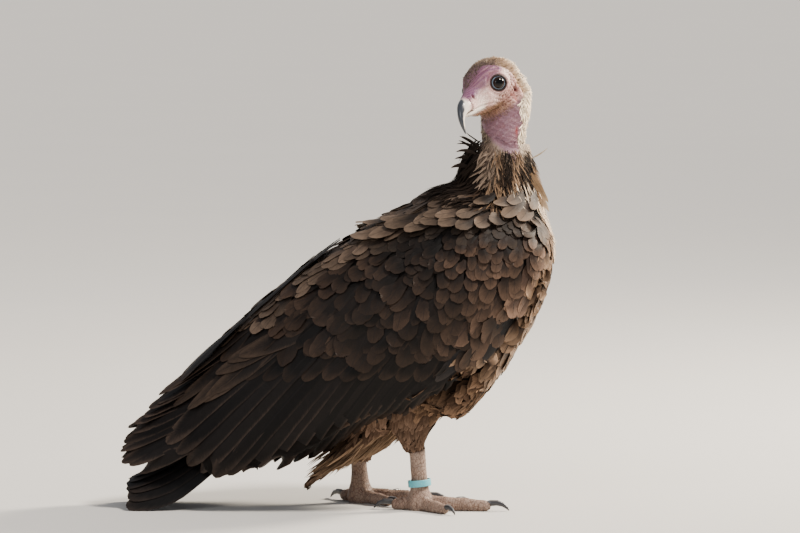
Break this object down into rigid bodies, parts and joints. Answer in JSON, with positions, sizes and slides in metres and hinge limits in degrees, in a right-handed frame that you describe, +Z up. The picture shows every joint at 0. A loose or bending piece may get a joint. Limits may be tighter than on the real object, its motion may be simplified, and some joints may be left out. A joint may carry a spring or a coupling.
{
  "type": "hooded vulture, life-size still model",
  "caption": "Standing hooded vulture with folded wings, its head turned back over its right shoulder, and a turquoise ring on one leg.",
  "frame": {"origin": "on the floor, under the middle of the bounding box of the whole bird", "axes": "+X the way the body and feet face, +Y the bird's left side, +Z up"},
  "size_m": [0.46, 0.186, 0.474],
  "materials": {
    "body_feather": "matt brown contour feathers with paler rims",
    "flight_feather": "smooth near-black flight feathers, a little gloss",
    "leg_feather": "soft tan-brown thigh and vent feathers",
    "down": "cream and dark brown down and hackles",
    "head_skin": "bare lilac-pink skin, finely wrinkled",
    "neck_skin": "bare mauve skin with creases, downy behind",
    "bill_horn": "dark slate horn, whitish on its sides",
    "eye": "wet dark brown eye",
    "leg_scale": "pale grey-pink scaly skin",
    "claw_horn": "dark grey horn",
    "ring_plastic": "turquoise plastic leg ring"
  },
  "bodies": {
    "root": {"trunk": "body_feather", "neck": "neck_skin", "ruff": "down", "head": "head_skin", "bill_upper": "bill_horn", "bill_lower": "bill_horn", "eye_left": "eye", "eye_right": "eye", "wing_left": "body_feather", "wing_right": "body_feather", "primaries_left": "flight_feather", "primaries_right": "flight_feather", "tail": "flight_feather", "vent": "leg_feather", "thigh_left": "leg_feather", "thigh_right": "leg_feather", "tarsus_left": "leg_scale", "tarsus_right": "leg_scale", "leg_ring": "ring_plastic", "toe_left_1": "leg_scale", "claw_left_1": "claw_horn", "toe_left_2": "leg_scale", "claw_left_2": "claw_horn", "toe_left_3": "leg_scale", "claw_left_3": "claw_horn", "toe_left_4": "leg_scale", "claw_left_4": "claw_horn", "toe_right_1": "leg_scale", "claw_right_1": "claw_horn", "toe_right_2": "leg_scale", "claw_right_2": "claw_horn", "toe_right_3": "leg_scale", "claw_right_3": "claw_horn", "toe_right_4": "leg_scale", "claw_right_4": "claw_horn"}
  },
  "joints": []
}
